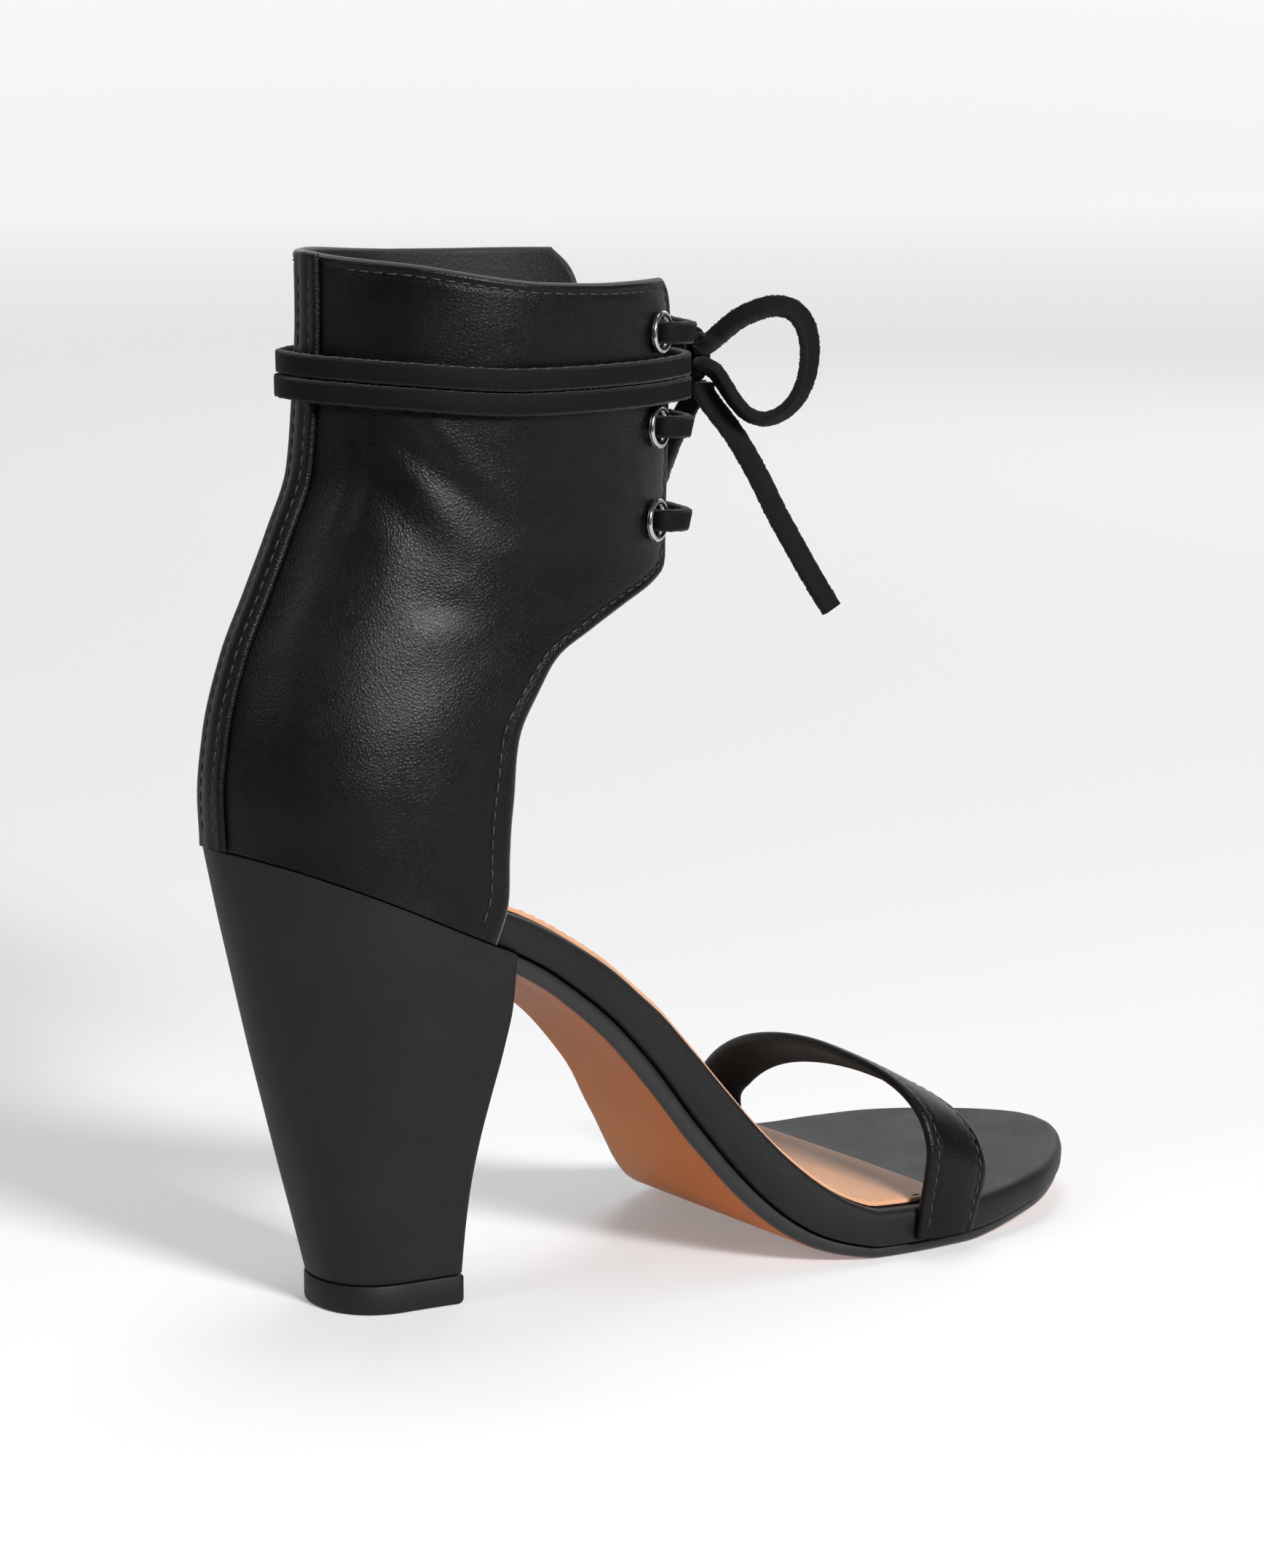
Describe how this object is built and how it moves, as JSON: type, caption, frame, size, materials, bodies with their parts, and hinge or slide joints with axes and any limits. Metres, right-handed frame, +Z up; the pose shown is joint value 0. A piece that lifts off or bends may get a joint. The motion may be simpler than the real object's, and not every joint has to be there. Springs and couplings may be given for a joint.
{
  "type": "lace up heeled sandal",
  "caption": "Right-foot leather ankle-cuff sandal with a laced open front, one toe strap, a wrapped footbed on a thin outsole and a tapered high heel.",
  "frame": {"origin": "middle of the heel tip's bottom face, on the floor", "axes": "+X from the heel towards the toe, +Y towards the inner side of the foot, +Z up"},
  "size_m": [0.2118, 0.0876, 0.214],
  "materials": {
    "black_leather": "smooth full grain, soft gloss",
    "heel_leather": "matte covered heel",
    "tan_sole": "varnished tan, black edge",
    "tan_sock": "matte tan",
    "black_rubber": "matte",
    "nickel": "polished nickel",
    "lace_leather": "flat thong with raw suede edges"
  },
  "bodies": {
    "root": {"outsole": "tan_sole", "footbed": "black_leather", "insole": "tan_sock", "heel": "heel_leather", "heel_tip": "black_rubber", "ankle_cuff": "black_leather", "back_strip": "black_leather", "toe_strap": "black_leather", "eyelet_outer_1": "nickel", "eyelet_outer_2": "nickel", "eyelet_outer_3": "nickel", "eyelet_inner_1": "nickel", "eyelet_inner_2": "nickel", "eyelet_inner_3": "nickel", "lace_crossings": "lace_leather", "lace_turn_upper": "lace_leather", "lace_turn_lower": "lace_leather", "lace_knot": "lace_leather", "lace_loop_outer": "lace_leather", "lace_end_outer": "lace_leather", "lace_loop_inner": "lace_leather", "lace_end_inner": "lace_leather"}
  },
  "joints": []
}
